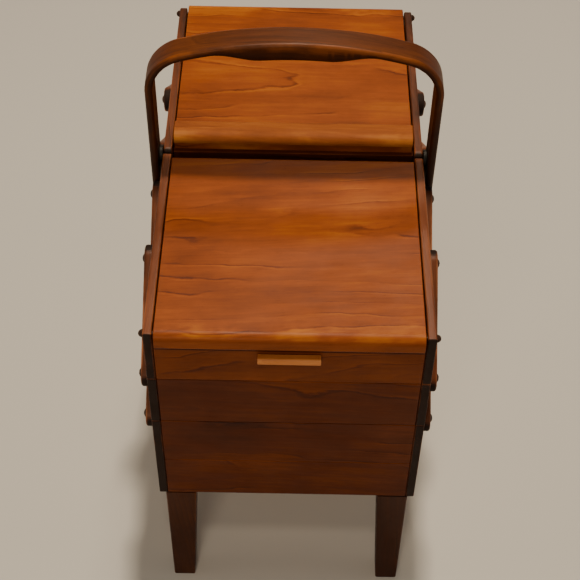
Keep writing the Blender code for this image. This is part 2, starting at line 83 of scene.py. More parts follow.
# Rounded edges.
BOARD_EDGE = 1.1 * MM
BASE_END_EDGE = 0.7 * MM
PANEL_EDGE = 0.3 * MM
SIDE_EDGE = 1.5 * MM  # on the upper trays' side boards
LID_END_EDGE = 0.8 * MM
LINK_EDGE = 2.0 * MM
LEG_EDGE = 1.6 * MM
PULL_END_EDGE = 1.6 * MM
SEAM_CORNER = 5 * MM  # upper side boards' corners where the halves meet
OUTER_CORNER = 2 * MM  # and at the box's ends

# Lids, batten and pull.
LID_THICKNESS = 10 * MM
LID_EDGE = 3 * MM
NOSE_TOP_EDGE = 8 * MM
NOSE_LOW_EDGE = 4 * MM
NOSE_WEAR_AND_SHEEN = 26 * MM  # how far the worn varnish and its painted highlight reach from the outer edge
NOSE_RAIL = 8 * MM
BATTEN_NEAR_EDGE = 8.5 * MM
BATTEN_FAR_EDGE = 4 * MM
BATTEN_CROWN = 0.8 * MM
BATTEN_CROWN_RADIUS = 40 * MM
PULL_LIP = 2.5 * MM
PULL_LOW_EDGE = 1 * MM
PULL_UNDERCUT = 2 * MM
PULL_HOLLOW = 1 * MM
OUTLINE_STEPS = 10  # steps round a corner of a lid or batten

# How much lighter or darker single pieces are than the rest of their kind, by stain and by painted shade.
# The upper trays' outer ends are made lighter than the other end boards.
TOP_END_LIGHTER = 0.2
BACK_SIDE_STAIN = -0.17
# Painted shade on the pulls' tops, which the lid's rail overhangs.
PULL_TOP_SHADE = -0.12
RAIL_SHADE_DEPTH = 1.5 * MM  # depth of the painted shade along the top of an upper tray's outer end, under the lid's rail
RAIL_SHADE = -0.6

# Links, pins and their heads.
LATTICE = 85 * MM
COURSE = 62 * MM
LINK_WIDTH = 25 * MM
LINK_THICKNESS = 8 * MM
LINK_END_STEPS = 20
WASHER = 1 * MM
WASHER_RADIUS = 6 * MM
HEAD_RADIUS = 4.5 * MM
HEAD_HEIGHT = 2.7 * MM
HEAD_SINK = 0.2 * MM  # how far a head reaches into its link
DOME_STEPS = 8
LID_PIN_HEAD = 3.5 * MM
LID_PIN_RADIUS = 2 * MM
LID_PIN_LENGTH = 18 * MM
LEAN = atan2(LATTICE, COURSE)
LINK_SPAN = hypot(LATTICE, COURSE)
LINK_X = BASE_X + FIT + WASHER  # a link's inner face

# Handle.
STRAP_THICKNESS = 7.5 * MM
STRAP_X = BASE_X + FIT + STRAP_THICKNESS  # the strap's outer face at its foot
STRAP_EDGE = 2.6 * MM
STRAP_EDGE_STEPS = 5
HANDLE_CORNER = 45 * MM
CROWN_RADIUS = 377 * MM
GRIP_DROP = 12 * MM
GRIP_HALF = 31 * MM
GRIP_END = 78 * MM
GRIP_TOP_EDGE = 3.4 * MM
GRIP_LOW_EDGE = 5.5 * MM
WEAR_FADE = 1.5 * MM  # over which an edge's wear dies away on the flats
CROWN_TOP_LIGHT, CROWN_FACE_SHADE = 0.09, -0.30  # painted light on the crown's upper face, and painted shade on its other faces
STRAP_LEG_SHADE = -0.24  # painted shade on the strap below the crown
BEND_BELOW = 4 * MM
BEND_ABOVE = 25 * MM
FOOT_CORNER = 7 * MM
FOOT_STEPS, UPRIGHT_STEPS, BEND_STEPS, REACH_STEPS, CORNER_STEPS, CROWN_STEPS = 8, 4, 8, 6, 20, 36
BUMPER_EDGE = 0.6 * MM
BUMPER_STEPS = 48

# Legs.
LEG_TOP = 30 * MM
LEG_FOOT = 22 * MM

# Where a board was sawn from its tree. Each is drawn from a range for each piece.
LOG_HALF = 4  # metres along the tree, either way
PITH_ACROSS = 0.03  # metres from the board to the tree's middle
PITH_DEPTH = (0.025, 0.06)
GRAIN_SLOPE = 0.10
STAIN_SPREAD = 0.03

END_FACING = (0.3, 0.7)  # how squarely a face looks along the grain, from side to end grain
SMOOTH_BELOW = 35  # degrees

# Floor, lights, world and camera.
FLOOR_HALF = 40
FLOOR_COLOUR = (0.60, 0.58, 0.55, 1)
FLOOR_ROUGHNESS = 0.9
FLOOR_SPECULAR = 0.2
FLOOR_SHINE = 0.06  # what the far floor reflects
FLOOR_GLOW = (1.6, 5.0)  # distances over which the floor fades into the horizon
HORIZON, SKY = 0.10, 0.45  # heights at which the world's light starts and stops falling
HORIZON_LIGHT, SKY_LIGHT = 0.42, 0.08
HORIZON_COLOUR = (1.0, 0.92, 0.82, 1)
WARM = (1.0, 0.84, 0.63)
LIGHT_AIM = Vector((0, 0, 0.35))
LIGHTS = (  # name, place, side of its square and power
    ("key", (0.05, 0.36, 2.40), 0.14, 44),
    ("back", (0.20, 1.45, 2.35), 0.20, 10.5),
    ("front_high", (-0.05, -1.05, 2.40), 0.16, 6),
    ("front", (-0.40, -2.00, 1.45), 0.50, 10.5),
    ("left", (-2.20, -0.30, 1.10), 0.80, 4),
    ("right", (2.20, -0.30, 1.10), 0.80, 4),
)
CAMERA_PLACE = (-0.00013, -0.91964, 1.23829)
CAMERA_PITCH, CAMERA_YAW, CAMERA_ROLL = radians(48.338), radians(-0.027), radians(1.054)
CAMERA_LENS, CAMERA_SENSOR = 79.66, 36


# ---------------------------------------------------------------- materials

# Waves of each noise to the metre, along, across and through the grain.
WANDER_WAVES = (8, 22, 22)
WOBBLE_WAVES = (42, 120, 120)
FADING_WAVES = (9, 30, 30)
STREAK_WAVES = (14, 420, 420)
RIBBON_WAVES = (5, 140, 140)
PORE_WAVES = (110, 1900, 1900)
CLOUD_WAVES = (10, 15, 15)
BAND_WAVES = (3, 45, 45)
SMEAR_WAVES = (16, 40, 40)

WANDER, WOBBLE = 2.0, 0.32  # how far the growth rings stray, as shares of their spacing
PORE_ROUGHNESS, END_ROUGHNESS = 0.1, 0.3
WOOD_BUMP, PLAIN_BUMP = 0.3, 0.2
BUMP_DEPTH = 0.1 * MM
PLAIN_SHINE = 0.2
MOTTLE_ROUGHNESS = 0.06


class Nodes:
    """Adds shader nodes to a material. An input takes a value or another node's output.

    An input is named as its socket, with _ for a space, or by its number as i0 or i1.
    """

    def __init__(self, name):
        material = bpy.data.materials.new(name)
        material.use_nodes = True
        self.material = material
        self.tree = material.node_tree
        self.shader = self.tree.nodes["Principled BSDF"]

    def set(self, node, **inputs):
        for key, value in inputs.items():
            numbered = key[1:].isdigit()
            socket = node.inputs[int(key[1:]) if numbered else key.replace("_", " ")]
            if isinstance(value, bpy.types.NodeSocket):
                self.tree.links.new(value, socket)
            else:
                socket.default_value = value
        return node

    def add(self, kind, settings=(), **inputs):
        node = self.tree.nodes.new("ShaderNode" + kind)
        for key, value in dict(settings).items():
            setattr(node, key, value)
        return self.set(node, **inputs)

    def math(self, operation, a, b=0.0):
        return self.add("Math", {"operation": operation}, i0=a, i1=b).outputs[0]

    def attribute(self, name, output):
        return self.add("Attribute", {"attribute_name": name}).outputs[output]

    def stretched(self, vector, factors):
        return self.add("VectorMath", {"operation": "MULTIPLY"}, i0=vector, i1=factors).outputs[0]

    def noise(self, vector, waves, detail=3.0, roughness=0.55):
        """Noise from about 0 to 1, with its waves to the metre on each axis."""
        place = self.stretched(vector, waves)
        node = self.add("TexNoise", Vector=place, Scale=1.0, Detail=detail, Roughness=roughness)
        return node.outputs["Fac"]

    def steps(self, value, low, high, out_low=0.0, out_high=1.0):
        """A smooth step from out_low to out_high as the value goes from low to high."""
        node = self.add("MapRange", {"interpolation_type": "SMOOTHSTEP"}, Value=value)
        for socket, number in zip(node.inputs[1:5], (low, high, out_low, out_high)):
            socket.default_value = number
        return node.outputs[0]

    def ramp(self, value, stops):
        node = self.add("ValToRGB", Fac=value)
        elements = node.color_ramp.elements
        while len(elements) < len(stops):
            elements.new(0.5)
        for element, (place, colour) in zip(elements, stops):
            element.position = place
            element.color = (*colour, 1)
        return node.outputs["Color"]


def growth_rings(n, grain, spacing):
    """The rings' broad tone, the dark line that ends each ring and the ripple after it."""
    across = n.stretched(grain, (0, 1, 1))
    radius = n.add("VectorMath", {"operation": "LENGTH"}, i0=across).outputs["Value"]
    wander = n.math("MULTIPLY", n.noise(grain, WANDER_WAVES, 2.0), WANDER * spacing)
    wobble = n.math("MULTIPLY", n.noise(grain, WOBBLE_WAVES, 4.0, 0.6), WOBBLE * spacing)
    radius = n.math("ADD", n.math("ADD", radius, wander), wobble)
    turn = n.math("FRACT", n.math("DIVIDE", radius, spacing))
    broad = n.steps(turn, 0.1, 0.95)
    line = n.math("MULTIPLY", n.steps(turn, 0.87, 0.955), n.steps(turn, 1.0, 0.965))
    ripple = n.math("MULTIPLY", n.steps(turn, 0.0, 0.04), n.steps(turn, 0.16, 0.05))
    fading = n.steps(n.noise(grain, FADING_WAVES, 3.0), 0.45, 0.62)
    return broad, n.math("MULTIPLY", line, fading), n.math("MULTIPLY", ripple, fading)


def wood(name, dark, base, light, rings, gloss, shine, figure=0.25, blotch=0.3, wear_and_sheen=0.25):
    """Stained and lacquered wood. rings is the growth rings' spacing in millimetres.

    The colour goes from dark to light by a tone, to which the growth rings (by figure),
    clouds and bands of uneven colour (by blotch), streaks, ribbons, pores, rubbed edges, which on some
    pieces also carry painted highlight (by the wear weight), and end grain each add their weight. gloss is
    the roughness, and shine the specular.
    """
    n = Nodes(name)
    grain = n.attribute("grain", "Vector")
    edge = n.attribute("edge", "Fac")
    end = n.attribute("end", "Fac")
    broad, line, ripple = growth_rings(n, grain, rings * MM)
    streak = n.math("SUBTRACT", n.noise(grain, STREAK_WAVES, 4.0, 0.6), 0.5)
    ribbon = n.math("SUBTRACT", n.noise(grain, RIBBON_WAVES, 4.0, 0.6), 0.5)
    pores = n.steps(n.noise(grain, PORE_WAVES, 2.0), 0.60, 0.72)
    cloud = n.noise(grain, CLOUD_WAVES, 4.0, 0.6)
    band = n.noise(grain, BAND_WAVES, 2.0)
    # Rubbed edges; on the lids' noses and opening edges and the batten's near edge they are painted
    # highlight as well as wear.
    rubbed_and_sheen = n.math("MULTIPLY", edge, n.steps(cloud, 0.42, 0.6))

    tone = n.math("ADD", n.attribute("stain_and_shade", "Fac"), 0.5)
    for signal, weight in (
        (n.math("SUBTRACT", cloud, 0.5), 2.2 * blotch),
        (n.math("SUBTRACT", band, 0.5), 1.0 * blotch),
        (broad, -0.16 * figure),
        (line, -0.90 * figure),
        (ripple, 0.45 * figure),
        (streak, 0.28),
        (ribbon, 0.32),
        (pores, -0.12),
        (rubbed_and_sheen, wear_and_sheen),
        (end, -0.5),
    ):
        tone = n.math("ADD", n.math("MULTIPLY", signal, weight), tone)
    colour = n.ramp(tone, [(0.1, dark), (0.5, base), (0.9, light)])

    smears = n.noise(grain, SMEAR_WAVES, 4.0, 0.65)
    rough = n.steps(smears, 0.3, 0.75, gloss - 0.05, gloss + 0.09)
    for signal, weight in ((pores, PORE_ROUGHNESS), (end, END_ROUGHNESS)):
        rough = n.math("ADD", rough, n.math("MULTIPLY", signal, weight))
    height = n.math("SUBTRACT", n.math("MULTIPLY", streak, 0.5), n.math("MULTIPLY", pores, 0.5))
    height = n.math("SUBTRACT", height, n.math("MULTIPLY", line, 0.25))
    bump = n.add("Bump", Strength=WOOD_BUMP, Distance=BUMP_DEPTH, Height=height).outputs["Normal"]
    n.set(n.shader, Base_Color=colour, Roughness=rough, Normal=bump, Specular_IOR_Level=shine)
    return n.material


def plain(name, colour, second, roughness, waves):
    """A moulded or painted surface with a faint mottle between two colours."""
    n = Nodes(name)
    mottle = n.noise(n.attribute("grain", "Vector"), (waves,) * 3, 4.0, 0.6)
    smooth, dull = roughness - MOTTLE_ROUGHNESS, roughness + MOTTLE_ROUGHNESS
    bump = n.add("Bump", Strength=PLAIN_BUMP, Distance=BUMP_DEPTH, Height=mottle).outputs["Normal"]
    n.set(
        n.shader,
        Base_Color=n.ramp(mottle, [(0.3, colour), (0.7, second)]),
        Roughness=n.steps(mottle, 0.3, 0.7, smooth, dull),
        Specular_IOR_Level=PLAIN_SHINE,
        Normal=bump,
    )
    return n.material


WOODS = {
    "lid_wood": dict(
        dark=(0.080, 0.012, 0.000), base=(0.24, 0.048, 0.000), light=(0.40, 0.118, 0.003),
        rings=13.0, gloss=0.42, shine=0.17, figure=0.3, wear_and_sheen=0.30,
    ),
    "batten_wood": dict(
        dark=(0.095, 0.020, 0.004), base=(0.245, 0.064, 0.010), light=(0.40, 0.140, 0.022),
        rings=13.0, gloss=0.60, shine=0.12, figure=0.3,
    ),
    # The pulls' wood is the lid's wood made lighter: painted light, where the lid's rail keeps the key
    # light off them.
    "pull_wood": dict(
        dark=(0.32, 0.09, 0.02), base=(0.58, 0.205, 0.05), light=(0.80, 0.36, 0.12),
        rings=6.0, gloss=0.42, shine=0.2,
    ),
    "side_wood": dict(
        dark=(0.014, 0.004, 0.001), base=(0.145, 0.036, 0.009), light=(0.28, 0.090, 0.030),
        rings=4.0, gloss=0.42, shine=0.25,
    ),
    "end_wood": dict(
        dark=(0.030, 0.004, 0.000), base=(0.090, 0.0158, 0.000), light=(0.20, 0.041, 0.001),
        rings=12.0, gloss=0.50, shine=0.15,
    ),
    "link_wood": dict(
        dark=(0.014, 0.004, 0.001), base=(0.125, 0.031, 0.007), light=(0.36, 0.13, 0.05),
        rings=3.5, gloss=0.46, shine=0.25, wear_and_sheen=0.5,
    ),
    "panel_wood": dict(
        dark=(0.20, 0.10, 0.045), base=(0.42, 0.24, 0.11), light=(0.56, 0.36, 0.19),
        rings=9.0, gloss=0.52, shine=0.5,
    ),
    "handle_wood": dict(
        dark=(0.014, 0.004, 0.001), base=(0.048, 0.011, 0.001), light=(0.22, 0.058, 0.009),
        rings=3.0, gloss=0.44, shine=0.17, figure=0.06, blotch=0.07, wear_and_sheen=0.24,
    ),
    "leg_wood": dict(
        dark=(0.014, 0.003, 0.000), base=(0.046, 0.010, 0.001), light=(0.11, 0.028, 0.003),
        rings=5.0, gloss=0.50, shine=0.2,
    ),
}
PLAINS = {
    "pin_metal": ((0.020, 0.008, 0.004), (0.045, 0.017, 0.009), 0.40, 500),
    "bumper_plastic": ((0.006, 0.005, 0.004), (0.012, 0.010, 0.009), 0.5, 900),
}
MATERIALS = {name: wood(name, **settings) for name, settings in WOODS.items()}
MATERIALS.update({name: plain(name, *settings) for name, settings in PLAINS.items()})


# ---------------------------------------------------------------- mesh helpers


def box_shape(low, high):
    shape = bmesh.new()
    bmesh.ops.create_cube(shape, size=1)
    middle, size = (low + high) / 2, high - low
    for vert in shape.verts:
        vert.co = Vector(a * b for a, b in zip(vert.co, size)) + middle
    return shape


def arc(centre, radius, start, end, steps):
    angles = [start + (end - start) * i / steps for i in range(steps + 1)]
    return [(centre[0] + radius * cos(a), centre[1] + radius * sin(a)) for a in angles]


def rounded(corners, steps=6):
    """A closed outline from (u, v, radius) corners, each rounded by its radius."""
    points = []
    for i, (u, v, radius) in enumerate(corners):
        here = Vector((u, v))
        if not radius:
            points.append((u, v))
            continue
        before = (Vector(corners[i - 1][:2]) - here).normalized()
        after = (Vector(corners[(i + 1) % len(corners)][:2]) - here).normalized()
        half_angle = before.angle(after) / 2
        centre = here + (before + after).normalized() * (radius / sin(half_angle))
        reach = radius * cos(half_angle) / sin(half_angle)
        first = here + before * reach - centre
        turn = first.angle_signed(here + after * reach - centre)
        for step in range(steps + 1):
            spoke = first.copy()
            spoke.rotate(Matrix.Rotation(-turn * step / steps, 2))
            points.append(tuple(centre + spoke))
    return points


def extruded(outline, x_low, x_high):
    """A solid that runs along X, with its outline given as (y, z) points."""
    shape = bmesh.new()
    face = shape.faces.new([shape.verts.new((x_low, y, z)) for y, z in outline])
    made = bmesh.ops.extrude_face_region(shape, geom=[face])["geom"]
    moved = [item for item in made if isinstance(item, bmesh.types.BMVert)]
    bmesh.ops.translate(shape, verts=moved, vec=(x_high - x_low, 0, 0))
    bmesh.ops.recalc_face_normals(shape, faces=shape.faces)
    return shape


def turned(profile, steps=32):
    """A round solid about Z from (radius, height) points that run from top to bottom."""
    shape = bmesh.new()
    rings = []
    for radius, height in profile:
        if radius:
            angles = [2 * pi * i / steps for i in range(steps)]
            ring = [shape.verts.new((radius * cos(a), radius * sin(a), height)) for a in angles]
        else:
            ring = [shape.verts.new((0, 0, height))] * steps
        rings.append(ring)
    for upper, lower in zip(rings, rings[1:]):
        for i in range(steps):
            corners = [upper[i], lower[i], lower[(i + 1) % steps], upper[(i + 1) % steps]]
            shape.faces.new(list(dict.fromkeys(corners)))
    return shape


def soften(shape, radius, sharper_than=50):
    """Rounds the shape's sharp edges, and marks the new surface as edge."""
    layer = shape.verts.layers.float.get("edge") or shape.verts.layers.float.new("edge")
    edges = [
        edge
        for edge in shape.edges
        if len(edge.link_faces) == 2 and edge.calc_face_angle() > radians(sharper_than)
    ]
    made = bmesh.ops.bevel(
        shape,
        geom=edges,
        offset=radius,
        offset_type="OFFSET",
        segments=3,
        profile=0.5,
        affect="EDGES",
        clamp_overlap=True,
    )
    fresh = set(made["faces"])
    for vert in made["verts"]:
        if all(face in fresh for face in vert.link_faces):
            vert[layer] = 1
    return shape


def joined(shapes):
    """One shape from several."""
    whole = bmesh.new()
    for shape in shapes:
        mesh = bpy.data.meshes.new("part")
        shape.to_mesh(mesh)
        shape.free()
        whole.from_mesh(mesh)
        bpy.data.meshes.remove(mesh)
    return whole


def board_places(points, along):
    """(along, across, deep) places of a straight board's points, from its middle."""
    low = Vector(min(p[i] for p in points) for i in range(3))
    high = Vector(max(p[i] for p in points) for i in range(3))
    middle = (low + high) / 2
    first = "XYZ".index(along)
    others = sorted((i for i in range(3) if i != first), key=lambda i: low[i] - high[i])
    return [tuple(p[i] - middle[i] for i in (first, *others)) for p in points]


def lay_grain(mesh, along, seed, places=None, stain_and_shade=0.0):
    """Writes what the wood reads. places are (along, across, deep) for each vertex of a bent piece."""
    draw = Random(seed)
    if places is None:
        places = board_places([vert.co.copy() for vert in mesh.vertices], along)
    start = draw.uniform(-LOG_HALF, LOG_HALF)
    pith_across = draw.uniform(-PITH_ACROSS, PITH_ACROSS)
    pith_depth = draw.uniform(*PITH_DEPTH)
    slope_across = draw.uniform(-GRAIN_SLOPE, GRAIN_SLOPE)
    slope_depth = draw.uniform(-GRAIN_SLOPE, GRAIN_SLOPE)
    grain = mesh.attributes.new("grain", "FLOAT_VECTOR", "POINT")
    for item, (u, v, w) in zip(grain.data, places):
        item.vector = (start + u, v + pith_across + slope_across * u, w + pith_depth + slope_depth * u)
    if "edge" not in mesh.attributes:
        mesh.attributes.new("edge", "FLOAT", "POINT")
    shade = stain_and_shade + draw.uniform(-STAIN_SPREAD, STAIN_SPREAD)
    for item in mesh.attributes.new("stain_and_shade", "FLOAT", "POINT").data:
        item.value = shade
    end = mesh.attributes.new("end", "FLOAT", "FACE")
    low, high = END_FACING
    for face, item in zip(mesh.polygons, end.data):
        facing = abs(face.normal["XYZ".index(along)]) if along else 0
        item.value = min(max((facing - low) / (high - low), 0), 1)


def body_of(node):
    return frame["nodes"][node]["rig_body"]


def piece(name, shape, slot, node, shows=True, along="X", place=None, places=None, stain_and_shade=0.0, look=None):
    """Makes a shape an object that rides on a CAD node's body, and stands for that node if it shows it."""
    mesh = bpy.data.meshes.new(name)
    shape.to_mesh(mesh)
    shape.free()
    lay_grain(mesh, along, name, places, stain_and_shade)
    if place:
        mesh.transform(place)
    mesh.shade_smooth()
    mesh.set_sharp_from_angle(angle=radians(SMOOTH_BELOW))
    mesh.materials.append(MATERIALS[look or slot])
    obj = bpy.data.objects.new(name, mesh)
    bpy.context.scene.collection.objects.link(obj)
    normals = obj.modifiers.new("normals", "WEIGHTED_NORMAL")
    normals.keep_sharp = True
    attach(obj, body_of(node))
    if shows:
        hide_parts(node)
    return obj


def tint(obj, wanted, shade):
    """Adds a shade, lighter or darker, to the vertices that wanted() picks by their place. It paints shade
    along the top of the upper trays' outer ends and on the pulls' tops.
    """
    for vert, item in zip(obj.data.vertices, obj.data.attributes["stain_and_shade"].data):
        if wanted(vert.co):
            item.value += shade


# ---------------------------------------------------------------- boards


def board(node, slot, along, edge=BOARD_EDGE):
    """A plain board with rounded edges, in its CAD node's place."""
    low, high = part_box(node)
    piece(f"{node}_shown", soften(box_shape(low, high), edge), slot, node, along=along)


def top_end_board(node):
    """An upper tray's outer end. Its top edge is darkened with painted shade, under the lid's rail."""
    low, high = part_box(node)
    shape = box_shape(low, high)
    for depth in (RAIL_SHADE_DEPTH, 2 * RAIL_SHADE_DEPTH):
        cut = Vector((0, 0, high.z - depth))
        every = [*shape.verts, *shape.edges, *shape.faces]
        bmesh.ops.bisect_plane(shape, geom=every, plane_co=cut, plane_no=(0, 0, 1))
    obj = piece(f"{node}_shown", soften(shape, BOARD_EDGE), "end_wood", node, stain_and_shade=TOP_END_LIGHTER)
    between = high.z - 1.5 * RAIL_SHADE_DEPTH
    # Painted shade: the top edge is darkened where the lid's rail shades it.
    tint(obj, lambda place: place.z > between, RAIL_SHADE)


def side_board(node, toward, upper):
    """A tray's side board. An upper tray's has rounded top corners at the seam and the end."""
    low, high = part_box(node)
    seam, end = (low.y, high.y) if toward > 0 else (high.y, low.y)
    outline = rounded(
        [
            (seam, low.z, 0),
            (end, low.z, 0),
            (end, high.z, OUTER_CORNER if upper else 0),
            (seam, high.z, SEAM_CORNER if upper else 0),
        ]
    )
    shape = soften(extruded(outline, low.x, high.x), SIDE_EDGE if upper else BOARD_EDGE)
    stain_and_shade = BACK_SIDE_STAIN if upper and toward > 0 else 0.0
    piece(f"{node}_shown", shape, "side_wood", node, along="Y", stain_and_shade=stain_and_shade)


for side, _ in SIDES:
    board(f"base_{side}_side", "side_wood", "Y")
board("base_bottom", "panel_wood", "Y", PANEL_EDGE)
for half, toward in HALVES:
    for course in ("lower", "upper"):
        board(f"base_{half}_{course}_board", "end_wood", "X", BASE_END_EDGE)
        tray = f"{half}_{course}_tray"
        for side, _ in SIDES:
            side_board(f"{tray}_{side}_side", toward, course == "upper")
        if course == "upper":
            top_end_board(f"{tray}_outer_end")
        else:
            board(f"{tray}_outer_end", "end_wood", "X")
        board(f"{tray}_inner_end", "end_wood", "X")
        board(f"{tray}_bottom", "panel_wood", "Y", PANEL_EDGE)


# ---------------------------------------------------------------- lids


def make_lid(half, toward):
    """A lid's panel with the deeper rail along its outer edge. Both edges are marked lighter: worn varnish
    with a painted highlight along the nose, and wear with painted light on the opening edge.
    """
    node = f"{half}_lid"
    low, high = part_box(node)
    opening, nose = sorted((abs(low.y), abs(high.y)))
    pin_low, pin_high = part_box(f"{half}_left_lid_pin")
    rail = abs(pin_low.y + pin_high.y) / 2 - NOSE_RAIL
    bottom = high.z - LID_THICKNESS
    outline = rounded(
        [
            (opening, high.z, LID_EDGE),
            (opening, bottom, 0),
            (rail, bottom, 0),
            (rail, low.z, 0),
            (nose, low.z, NOSE_LOW_EDGE),
            (nose, high.z, NOSE_TOP_EDGE),
            (nose - NOSE_WEAR_AND_SHEEN, high.z, 0),
        ],
        OUTLINE_STEPS,
    )
    outline = [(toward * y, z) for y, z in outline]
    shape = soften(extruded(outline, low.x, high.x), LID_END_EDGE)
    layer = shape.verts.layers.float["edge"]
    # Marks worn varnish with painted highlight near the nose, and wear with painted light at the opening.
    for vert in shape.verts:
        on_top = vert.co.z > high.z - NOSE_TOP_EDGE / 2
        near_nose = on_top and abs(vert.co.y) > nose - NOSE_WEAR_AND_SHEEN / 2
        if near_nose or abs(vert.co.y) < opening + LID_EDGE / 2:
            vert[layer] = 1
    piece(f"{node}_shown", shape, "lid_wood", node)


def make_batten():
    """The back lid's batten: crowned, and lighter where fingers lift it, which is finger wear and painted
    light.
    """
    node = "back_lid_batten"
    low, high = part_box(node)
    shoulder = high.z - BATTEN_CROWN
    outline = rounded(
        [
            (low.y, low.z, 0),
            (high.y, low.z, 0),
            (high.y, shoulder, BATTEN_FAR_EDGE),
            ((low.y + high.y) / 2, high.z, BATTEN_CROWN_RADIUS),
            (low.y, shoulder, BATTEN_NEAR_EDGE - BATTEN_CROWN),
        ],
        OUTLINE_STEPS,
    )
    shape = soften(extruded(outline, low.x, high.x), LID_END_EDGE)
    layer = shape.verts.layers.float["edge"]
    # Marks the near edge lighter: finger wear and painted light.
    for vert in shape.verts:
        if vert.co.y < low.y + BATTEN_NEAR_EDGE:
            vert[layer] = 1
    piece(f"{node}_shown", shape, "lid_wood", node, look="batten_wood")


def make_pull(half, toward):
    """A finger pull with a rounded lip, a hollowed top darkened by painted shade, and an undercut below.
    Its wood is a lighter copy of the lid's, which paints light on it.
    """
    node = f"{half}_pull"
    low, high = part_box(node)
    near, far = sorted((abs(low.y), abs(high.y)))
    depth, height = far - near, high.z - low.z
    hollow = high.z - PULL_HOLLOW
    outline = rounded(
        [
            (near, low.z, 0),
            (far - PULL_UNDERCUT, low.z, 0),
            (far, low.z + height / 3, PULL_LOW_EDGE),
            (far, high.z, PULL_LIP),
            (near + depth / 4, hollow, 0),
            (near, hollow, 0),
        ]
    )
    outline = [(toward * y, z) for y, z in outline]
    shape = soften(extruded(outline, low.x, high.x), PULL_END_EDGE, 60)
    obj = piece(f"{node}_shown", shape, "lid_wood", node, look="pull_wood")
    middle, lip = low.z + height / 2, far - PULL_LIP
    # Painted shade: the top, under the rail, is darker than the lip.
    tint(obj, lambda place: place.z > middle and abs(place.y) < lip, PULL_TOP_SHADE)


for half, toward in HALVES:
    make_lid(half, toward)
    make_pull(half, toward)
make_batten()


# ---------------------------------------------------------------- links and pins


def dome(radius, height, base):
    """Profile points of a domed head that starts at its crown and ends at its rim."""
    angles = [pi / 2 * i / DOME_STEPS for i in range(DOME_STEPS + 1)]
    return [(radius * sin(a), base + height * cos(a)) for a in angles]


def outward(side_sign, place):
    """Puts a turned piece at a place, with its head facing out of the box's side."""
    return Matrix.Translation(place) @ Matrix.Rotation(side_sign * pi / 2, 4, "Y")


def link_bar(spans):
    """A bar from its lowest pin up along Z, with its inner face at X = 0."""
    length, radius = spans * LINK_SPAN, LINK_WIDTH / 2
    ends = arc((0, 0), radius, -pi, 0, LINK_END_STEPS)
    ends += arc((0, length), radius, 0, pi, LINK_END_STEPS)
    return soften(extruded(ends, 0, LINK_THICKNESS), LINK_EDGE, 60)


def link_heads(spans):
    """The domed heads of a link's pins, and the washers behind it."""
    shapes = []
    for step in range(spans + 1):
        rim = LINK_THICKNESS - HEAD_SINK
        head = turned([*dome(HEAD_RADIUS, HEAD_HEIGHT + HEAD_SINK, rim), (0, rim)])
        washer = turned([(0, 0), (WASHER_RADIUS, 0), (WASHER_RADIUS, -WASHER), (0, -WASHER)])
        for part in (head, washer):
            part.transform(outward(1, (0, 0, step * LINK_SPAN)))
            shapes.append(part)
    return joined(shapes)


def make_link(half, toward, side, side_sign, kind, spans):
    """Places one link on its lowest pin, which is nearest the base's end."""
    node = f"{half}_{side}_{kind}_link"
    low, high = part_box(node)
    pin_y = toward * (max(abs(low.y), abs(high.y)) - LINK_WIDTH / 2)
    pin_z = low.z + LINK_WIDTH / 2
    turn = Matrix.Rotation(toward * LEAN, 4, "X")
    if side_sign < 0:
        turn = turn @ Matrix.Rotation(pi, 4, "Z")
    place = Matrix.Translation((side_sign * LINK_X, pin_y, pin_z)) @ turn
    piece(f"{node}_bar", link_bar(spans), "link_wood", node, along="Z", place=place)
    heads = link_heads(spans)
    piece(f"{node}_heads", heads, "pin_metal", node, shows=False, along="Z", place=place)


def make_lid_pin(half, side, side_sign):
    """A lid's pin, with its domed head outside the upper tray's side board."""
    node = f"{half}_{side}_lid_pin"
    low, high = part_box(node)
    shank = [(LID_PIN_RADIUS, 0), (LID_PIN_RADIUS, -LID_PIN_LENGTH), (0, -LID_PIN_LENGTH)]
    shape = turned([*dome(LID_PIN_HEAD, LID_PIN_HEAD, 0), *shank])
    head = (side_sign * (BASE_X + FIT), (low.y + high.y) / 2, (low.z + high.z) / 2)
    piece(f"{node}_shown", shape, "pin_metal", node, along="Z", place=outward(side_sign, head))


for half, toward in HALVES:
    for side, side_sign in SIDES:
        for kind, spans in (("long", 2), ("lower", 1), ("upper", 1)):
            make_link(half, toward, side, side_sign, kind, spans)
        make_lid_pin(half, side, side_sign)


# ---------------------------------------------------------------- handle


def ease(share):
    """A share from 0 to 1 that starts and ends slowly."""
    return (1 - cos(pi * min(max(share, 0), 1))) / 2


def shares(count):
    """Even shares of a stretch, without its start."""
    return [i / count for i in range(1, count + 1)]


def strap_path():
    """(x, z) points of the strap's outer face, from its right foot to the crown."""
    low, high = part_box("handle")
    base_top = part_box("base_right_side")[1].z
    outer_x = high.x
    upright = low.z + FOOT_CORNER
    bend_low, bend_high = base_top - BEND_BELOW, base_top + BEND_ABOVE
    crown_z = high.z - CROWN_RADIUS
    corner_x = outer_x - HANDLE_CORNER
    corner_z = crown_z + sqrt((CROWN_RADIUS - HANDLE_CORNER) ** 2 - corner_x**2)
    meet = atan2(corner_z - crown_z, corner_x)
    points = [(STRAP_X, low.z)]
    for share in shares(FOOT_STEPS):
        points.append((STRAP_X, low.z + FOOT_CORNER * (1 - cos(pi / 2 * share))))
    for share in shares(UPRIGHT_STEPS):
        points.append((STRAP_X, upright + (bend_low - upright) * share))
    for share in shares(BEND_STEPS):
        x = STRAP_X + (outer_x - STRAP_X) * ease(share)
        points.append((x, bend_low + (bend_high - bend_low) * share))
    for share in shares(REACH_STEPS):
        points.append((outer_x, bend_high + (corner_z - bend_high) * share))
    points += arc((corner_x, corner_z), HANDLE_CORNER, 0, meet, CORNER_STEPS)[1:]
    points += arc((0, crown_z), CROWN_RADIUS, meet, pi / 2, CROWN_STEPS)[1:]
    return points


